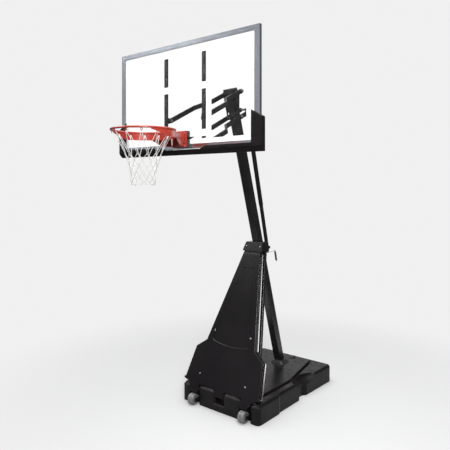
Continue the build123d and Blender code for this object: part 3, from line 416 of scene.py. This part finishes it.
def acrylic():
    """Clear polished sheet: nearly invisible face on, pale at its edges, with light wiping marks."""
    m = Maker("acrylic")
    m.set(Specular_IOR_Level=0.5, Roughness=0.04)
    streaks = m.noise(5.0, 5.0, 0.6, stretch=(1.0, 1.0, 2.5))
    m.feed("Base Color", m.mottle(streaks, (0.95, 0.97, 1.0), (1.0, 1.0, 1.0)))
    m.feed("Alpha", m.ramp(streaks, 0.003, 0.007))
    m.feed("Roughness", m.ramp(m.noise(40.0, 5.0), 0.02, 0.07))
    return m.mat


def white_print():
    """Screen-printed white ink on the back of the sheet."""
    m = Maker("white_print")
    m.set(Specular_IOR_Level=0.45)
    m.feed("Base Color", m.mottle(m.noise(12.0, 4.0), (0.90, 0.90, 0.90), (0.96, 0.96, 0.96)))
    m.feed("Roughness", m.ramp(m.noise(90.0), 0.30, 0.42))
    m.bump((m.noise(700.0), 0.05, 0.0002))
    return m.mat


def pad_foam():
    """Skinned foam: fine leathery grain, soft highlight."""
    m = Maker("pad_foam")
    m.set(Specular_IOR_Level=0.12, Sheen_Weight=0.01, Sheen_Roughness=0.5)
    m.feed("Base Color", m.mottle(m.noise(14.0, 4.0), (0.0055, 0.0042, 0.0046), (0.0105, 0.0082, 0.0090)))
    m.feed("Roughness", m.ramp(m.noise(50.0, 4.0), 0.42, 0.60))
    m.bump((m.cells(520.0), 0.32, 0.0006), (m.noise(16.0, 2.0), 0.16, 0.0015))
    return m.mat


def rim_paint():
    """Orange-red powder coat, rubbed darker where the ball and the net wear it."""
    m = Maker("rim_paint")
    m.set(Specular_IOR_Level=0.5, Coat_Weight=0.45, Coat_Roughness=0.16)
    paint = m.mottle(m.noise(9.0, 3.0), (0.29, 0.022, 0.013), (0.42, 0.040, 0.020))
    worn = m.ramp(m.noise(120.0, 5.0), 0.0, 0.7, 0.62, 0.70)
    m.feed("Base Color", m.blend(m.multiply(worn, m.edges(radius=0.0015)), paint, (0.10, 0.035, 0.03)))
    m.feed("Roughness", m.ramp(m.noise(34.0, 4.0), 0.26, 0.40))
    m.bump((m.noise(360.0, 2.0), 0.18, 0.0006), edge=0.0015)
    return m.mat


def wheel_plastic():
    """Grey moulded roller, scratched round its tread."""
    m = Maker("wheel_plastic")
    m.feed("Base Color", m.mottle(m.noise(30.0, 5.0), (0.095, 0.093, 0.092), (0.15, 0.15, 0.15)))
    m.feed("Roughness", m.ramp(m.noise(70.0, 4.0), 0.35, 0.55))
    m.bump((m.noise(200.0, 4.0, stretch=(6.0, 1.0, 1.0)), 0.25, 0.0005), edge=0.002)
    return m.mat


def grip_plastic():
    """Dark grey sleeve on the crank."""
    m = Maker("grip_plastic")
    m.feed("Base Color", m.mottle(m.noise(60.0), (0.040, 0.040, 0.043), (0.070, 0.070, 0.074)))
    m.feed("Roughness", m.ramp(m.noise(90.0), 0.4, 0.55))
    m.bump((m.cells(800.0), 0.2, 0.0003), edge=0.001)
    return m.mat


def net_cord():
    """Braided white nylon, with painted shade: a little grey in the hollows of its braid."""
    m = Maker("net_cord")
    m.set(Specular_IOR_Level=0.25, Sheen_Weight=0.3, Sheen_Roughness=0.6)
    fibre_and_hollow_shade = m.noise(520.0, 3.0, stretch=(1.0, 1.0, 0.45))
    # painted shade: the colour goes grey where the braid's bump is low, in its hollows
    m.feed("Base Color", m.mottle(fibre_and_hollow_shade, (0.48, 0.47, 0.46), (0.74, 0.74, 0.73)))
    m.feed("Roughness", m.ramp(fibre_and_hollow_shade, 0.75, 0.9))
    m.bump((fibre_and_hollow_shade, 0.6, 0.0008))
    return m.mat


MATERIALS = {
    make.__name__: make() for make in (
        tank_plastic, shroud_plastic, dark_plastic, cap_plastic, black_steel, zinc_steel, chrome_steel,
        frame_aluminium, acrylic, white_print, pad_foam, rim_paint, wheel_plastic, grip_plastic, net_cord)
}
MATERIALS["water"] = MATERIALS["dark_plastic"]      # sealed in the tank and never seen


def paint_cad():
    """Give every carried-over CAD node the finish of its slot."""
    for entry in frame["record"]["subparts"]:
        node = frame["nodes"][entry["node"]]
        material = MATERIALS[entry["material_slot"]]
        for holder in [node, *node.children_recursive]:
            if holder.type == "MESH":
                for slot in holder.material_slots:
                    slot.material = material


def new_piece(name, mesh, body, slot):
    """A Blender piece that rides on a body and takes its finish from a slot."""
    piece = bpy.data.objects.new(name, mesh)
    scene.collection.objects.link(piece)
    mesh.materials.clear()
    mesh.materials.append(MATERIALS[slot])
    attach(piece, body)
    return piece


# ---------------------------------------------------------------- net
NET_LOOPS = 12
CORD_R = 0.0021
CORD_SIDES = 8
NET_DROPS = (0.0, 0.160, 0.208, 0.252, 0.294, 0.334, 0.368)
NET_RADII = (0.2205, 0.136, 0.115, 0.101, 0.094, 0.091, 0.0905)
SWAY_R = 0.002                  # how far knots stray from their row, outward and in height
SWAY_Z = 0.005
LOOP_SAG = -0.004               # bow of the long loops, inward
MESH_SAG = 0.001                # bow of the diamonds' cords, outward
LOOP_GAP = 0.0022               # half the gap between a loop's two cords at its hook
CORD_STEPS = 5
KNOT_R = CORD_R * 1.75
KNOT_STRETCH = 1.35
BOTTOM_DIP = 0.018              # drop of the lowest loops between knots


def tube(bm, points, radius):
    """A round cord through a list of points, closed at both ends."""
    rings = []
    for i, p in enumerate(points):
        before = points[max(i - 1, 0)]
        after = points[min(i + 1, len(points) - 1)]
        along = (after - before).normalized()
        side = along.cross(Vector((0, 0, 1)))
        side = side.normalized() if side.length > 0.01 else Vector((1, 0, 0))
        up = side.cross(along).normalized()
        ring = []
        for k in range(CORD_SIDES):
            a = 2 * math.pi * k / CORD_SIDES
            ring.append(bm.verts.new(p + radius * (math.cos(a) * side + math.sin(a) * up)))
        rings.append(ring)
    for first, second in zip(rings, rings[1:]):
        for k in range(CORD_SIDES):
            n = (k + 1) % CORD_SIDES
            bm.faces.new((first[k], first[n], second[n], second[k]))
    bm.faces.new(list(reversed(rings[0])))
    bm.faces.new(rings[-1])


def net_knot(row, i, top, centre, sway):
    """Place of one knot of the net."""
    angle = math.radians((i + 0.5 + 0.5 * (row % 2)) * 360 / NET_LOOPS)
    radius = NET_RADII[row] + sway[row][i % NET_LOOPS][0]
    z = top - NET_DROPS[row] + sway[row][i % NET_LOOPS][1]
    return centre + Vector((math.cos(angle) * radius, math.sin(angle) * radius, z - centre.z))


def cord_run(start, end, sag, outward):
    """Points along one cord between two knots, with a slight bow."""
    points = []
    for i in range(CORD_STEPS + 1):
        t = i / CORD_STEPS
        bow = 4 * t * (1 - t)
        points.append(start.lerp(end, t) + outward * sag * bow)
    return points


def make_net():
    """White knotted cord net: long loops on the hooks, then rows of diamonds."""
    low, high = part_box("net")
    centre = Vector(((low[0] + high[0]) / 2, (low[1] + high[1]) / 2, high[2]))
    top = high[2] + 0.001
    rows = len(NET_DROPS)
    sway = [[(random.uniform(-SWAY_R, SWAY_R) * bool(r), random.uniform(-SWAY_Z, SWAY_Z) * bool(r))
             for _ in range(NET_LOOPS)] for r in range(rows)]
    bm = bmesh.new()
    for row in range(rows - 1):
        for i in range(NET_LOOPS):
            start = net_knot(row, i, top, centre, sway)
            for step in (0, 1):
                j = i + step if row % 2 else i - 1 + step
                end = net_knot(row + 1, j, top, centre, sway)
                outward = (start + end) / 2 - centre
                outward.z = 0
                outward.normalize()
                sag = LOOP_SAG if row == 0 else MESH_SAG
                twist = Vector((-outward.y, outward.x, 0)) * (LOOP_GAP if row == 0 else 0.0)
                sign = 1 if step else -1
                tube(bm, cord_run(start + twist * sign, end, sag, outward), CORD_R)
    for row in range(1, rows):
        for i in range(NET_LOOPS):
            place = Matrix.Translation(net_knot(row, i, top, centre, sway))
            knot = place @ Matrix.Diagonal((1, 1, KNOT_STRETCH, 1))
            bmesh.ops.create_icosphere(bm, subdivisions=2, radius=KNOT_R, matrix=knot)
    for i in range(NET_LOOPS):
        start = net_knot(rows - 1, i, top, centre, sway)
        end = net_knot(rows - 1, i + 1, top, centre, sway)
        dip = (start + end) / 2 - Vector((0, 0, BOTTOM_DIP))
        tube(bm, [start, start.lerp(dip, 0.6), dip, end.lerp(dip, 0.6), end], CORD_R)
    mesh = bpy.data.meshes.new("net")
    bm.to_mesh(mesh)
    bm.free()
    mesh.shade_smooth()
    net = new_piece("net_cords", mesh, "rim", "net_cord")
    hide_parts("net")


# ---------------------------------------------------------------- pads
PAD_VOXEL = 0.004
PAD_SMOOTHING = 0.5
PAD_PASSES = 4


def soft_pad(node, name):
    """Foam pad: the CAD solid's shape with rounded, slightly swollen skin."""
    source = frame["nodes"][node]
    mesh = source.data.copy()
    pad = new_piece(name, mesh, "board", "pad_foam")
    remesh = pad.modifiers.new("remesh", "REMESH")
    remesh.mode = "VOXEL"
    remesh.voxel_size = PAD_VOXEL
    smooth = pad.modifiers.new("smooth", "SMOOTH")
    smooth.factor = PAD_SMOOTHING
    smooth.iterations = PAD_PASSES
    baked = bpy.data.meshes.new_from_object(pad.evaluated_get(bpy.context.evaluated_depsgraph_get()))
    pad.modifiers.clear()
    pad.data = baked
    baked.materials.clear()
    baked.materials.append(MATERIALS["pad_foam"])
    baked.shade_smooth()
    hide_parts(node)


# ---------------------------------------------------------------- build
make_camera()
make_world()
floor = make_floor()
paint_cad()
make_net()
for side in ("left", "right"):
    soft_pad(f"corner_pad_{side}", f"corner_foam_{side}")
soft_pad("edge_pad", "edge_foam")
make_lights(floor)
